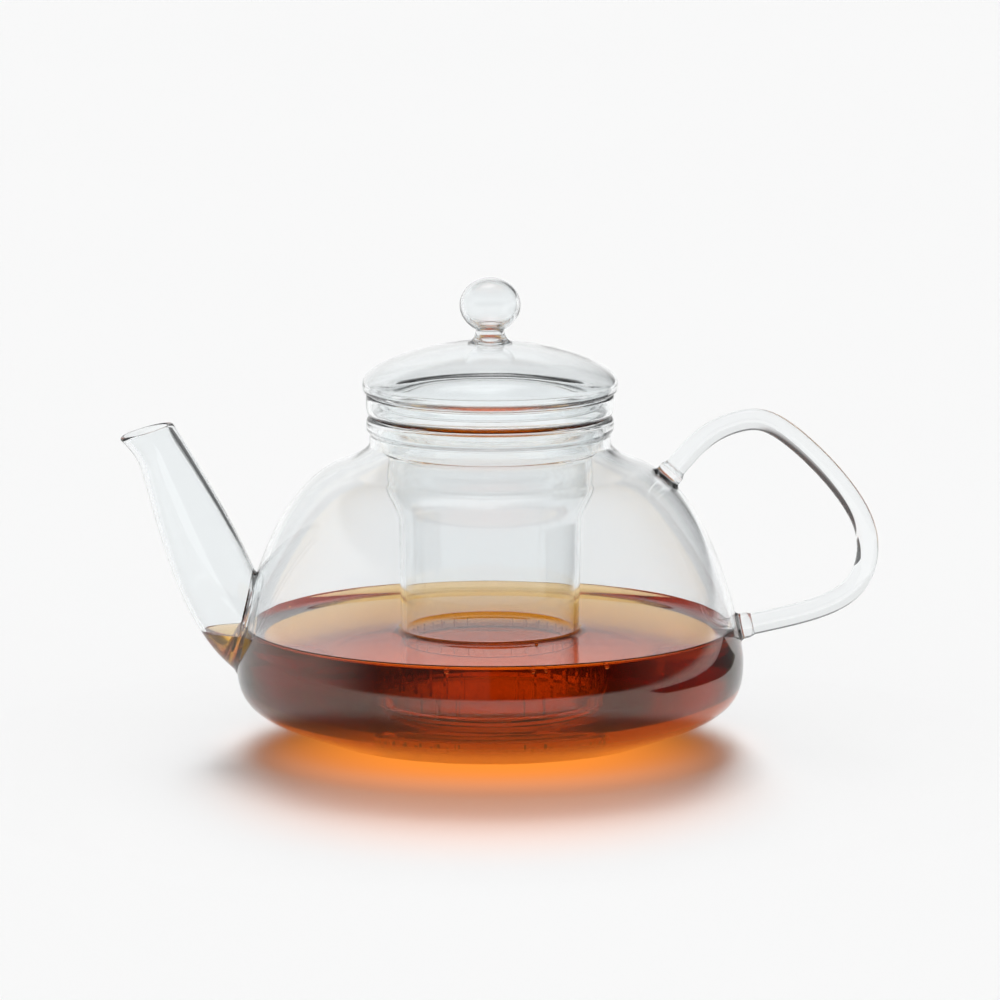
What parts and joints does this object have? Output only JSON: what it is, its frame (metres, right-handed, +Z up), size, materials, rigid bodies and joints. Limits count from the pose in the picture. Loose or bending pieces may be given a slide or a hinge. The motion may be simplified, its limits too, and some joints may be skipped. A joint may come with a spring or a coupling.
{
  "type": "glass teapot",
  "caption": "Clear glass teapot with a domed body, tapered spout and rod handle, a lift-out glass infuser in its neck, and a domed lid with a ball knob.",
  "frame": {"origin": "on the pot's own axis, at the flat foot that rests on the table", "axes": "+Z up along the pot's axis, +X towards the handle, -X towards the spout"},
  "size_m": [0.2448, 0.164, 0.1491],
  "materials": {
    "clear_glass": "clear, smooth, fire-polished borosilicate glass",
    "infuser_glass": "clear, smooth borosilicate glass, thinner than the pot",
    "tea": "clear amber liquid"
  },
  "bodies": {
    "pot": {"pot_body": "clear_glass", "spout": "clear_glass", "handle": "clear_glass", "handle_upper_boss": "clear_glass", "handle_lower_boss": "clear_glass", "pot_tea": "tea", "infuser_tea": "tea"},
    "infuser": {"infuser": "infuser_glass"},
    "lid": {"lid": "clear_glass", "lid_knob": "clear_glass"}
  },
  "joints": [
    {"name": "infuser_lift", "type": "slide", "parent": "pot", "child": "infuser", "axis": [0, 0, 1], "range_m": [0, 0.105], "deforming": ["pot_tea", "infuser_tea"]},
    {"name": "lid_lift", "type": "slide", "parent": "infuser", "child": "lid", "axis": [0, 0, 1], "range_m": [0, 0.04]}
  ]
}
